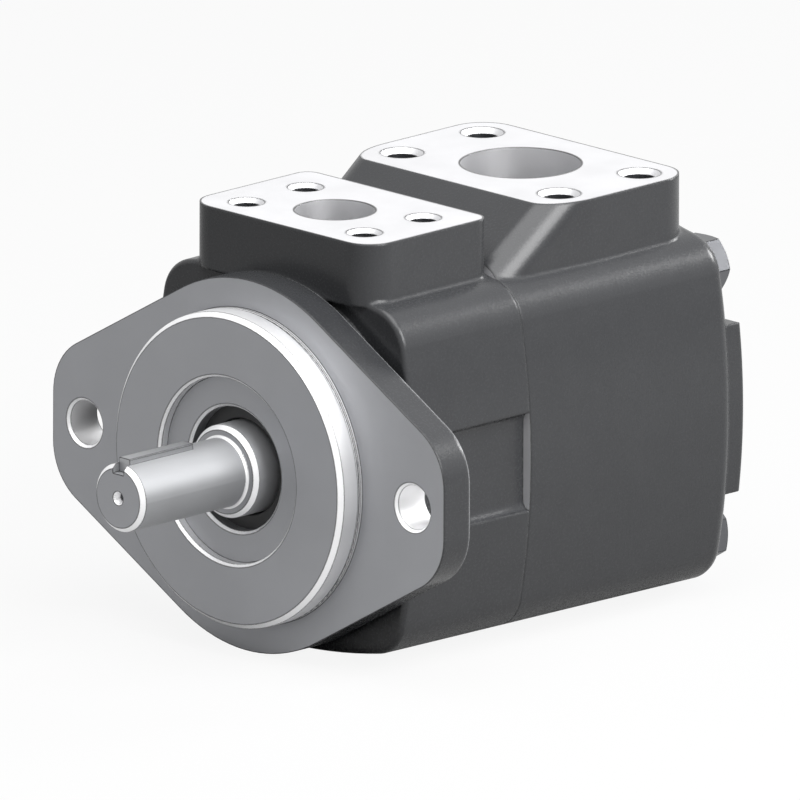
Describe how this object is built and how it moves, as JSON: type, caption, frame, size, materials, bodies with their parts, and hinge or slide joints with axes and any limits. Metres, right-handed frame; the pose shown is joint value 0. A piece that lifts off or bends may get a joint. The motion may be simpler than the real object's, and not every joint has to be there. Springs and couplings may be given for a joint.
{
  "type": "hydraulic vane pump",
  "caption": "Hydraulic vane pump with a piloted mounting flange, a keyed drive shaft, and pressure and suction ports that face up.",
  "frame": {"origin": "centre of the front face of the mounting flange, on the axis of the shaft", "axes": "+Y along the shaft from its drive end to the rear of the pump, +Z out of the ports, +X to the right seen from the drive end"},
  "size_m": [0.174, 0.222, 0.1368],
  "materials": {
    "painted_iron": "cast iron, satin charcoal paint, machined faces bare",
    "zinc_steel": "zinc-plated steel",
    "shaft_steel": "turned and ground alloy steel",
    "key_steel": "cold-drawn key steel",
    "carrier_steel": "fine-turned steel",
    "nitrile": "black nitrile rubber",
    "spring_steel": "spring steel",
    "bearing_steel": "ground and polished bearing steel",
    "cage_brass": "machined brass",
    "plate_iron": "ground nodular iron",
    "ptfe": "white PTFE",
    "hardened_steel": "hardened and ground tool steel",
    "bronze": "turned bearing bronze",
    "black_steel": "black-oxide steel"
  },
  "bodies": {
    "pump_body": {"front_housing": "painted_iron", "rear_housing": "painted_iron", "housing_bolts": "zinc_steel", "seal_carrier": "carrier_steel", "carrier_oring": "nitrile", "shaft_seal": "nitrile", "seal_spring": "spring_steel", "bearing_outer_race": "bearing_steel", "front_port_plate": "plate_iron", "hub_oring": "nitrile", "plate_oring": "nitrile", "plate_backup_ring": "ptfe", "cam_ring": "hardened_steel", "rear_port_plate": "plate_iron", "rear_bush": "bronze", "cartridge_screws": "black_steel", "dowel_pins": "hardened_steel", "joint_oring": "nitrile"},
    "shaft_assembly": {"drive_shaft": "shaft_steel", "shaft_key": "key_steel", "bearing_inner_race": "bearing_steel", "shaft_ring": "spring_steel", "rotor": "hardened_steel"},
    "ball_set": {"bearing_balls": "bearing_steel", "bearing_cage": "cage_brass"},
    "vane_01": {"vane_01": "hardened_steel"},
    "vane_02": {"vane_02": "hardened_steel"},
    "vane_03": {"vane_03": "hardened_steel"},
    "vane_04": {"vane_04": "hardened_steel"},
    "vane_05": {"vane_05": "hardened_steel"},
    "vane_06": {"vane_06": "hardened_steel"},
    "vane_07": {"vane_07": "hardened_steel"},
    "vane_08": {"vane_08": "hardened_steel"},
    "vane_09": {"vane_09": "hardened_steel"},
    "vane_10": {"vane_10": "hardened_steel"}
  },
  "joints": [
    {"name": "shaft_spin", "type": "hinge", "parent": "pump_body", "child": "shaft_assembly", "pos_m": [0, 0, 0], "axis": [0, 1, 0], "continuous": true},
    {"name": "ball_set_spin", "type": "hinge", "parent": "pump_body", "child": "ball_set", "pos_m": [0, 0, 0], "axis": [0, 1, 0], "continuous": true},
    {"name": "vane_01_slide", "type": "slide", "parent": "shaft_assembly", "child": "vane_01", "axis": [1, 0, 0], "range_m": [0, 0.0035]},
    {"name": "vane_02_slide", "type": "slide", "parent": "shaft_assembly", "child": "vane_02", "axis": [0.809, 0, 0.5878], "range_m": [0, 0.00229]},
    {"name": "vane_03_slide", "type": "slide", "parent": "shaft_assembly", "child": "vane_03", "axis": [0.309, 0, 0.9511], "range_m": [0, 0.00033]},
    {"name": "vane_04_slide", "type": "slide", "parent": "shaft_assembly", "child": "vane_04", "axis": [-0.309, 0, 0.9511], "range_m": [0, 0.00033]},
    {"name": "vane_05_slide", "type": "slide", "parent": "shaft_assembly", "child": "vane_05", "axis": [-0.809, 0, 0.5878], "range_m": [0, 0.00229]},
    {"name": "vane_06_slide", "type": "slide", "parent": "shaft_assembly", "child": "vane_06", "axis": [-1, 0, 0], "range_m": [0, 0.0035]},
    {"name": "vane_07_slide", "type": "slide", "parent": "shaft_assembly", "child": "vane_07", "axis": [-0.809, 0, -0.5878], "range_m": [0, 0.00229]},
    {"name": "vane_08_slide", "type": "slide", "parent": "shaft_assembly", "child": "vane_08", "axis": [-0.309, 0, -0.9511], "range_m": [0, 0.00033]},
    {"name": "vane_09_slide", "type": "slide", "parent": "shaft_assembly", "child": "vane_09", "axis": [0.309, 0, -0.9511], "range_m": [0, 0.00033]},
    {"name": "vane_10_slide", "type": "slide", "parent": "shaft_assembly", "child": "vane_10", "axis": [0.809, 0, -0.5878], "range_m": [0, 0.00229]}
  ],
  "couplings": [
    {"joint": "ball_set_spin", "follows": "shaft_spin", "ratio": 0.3969}
  ]
}
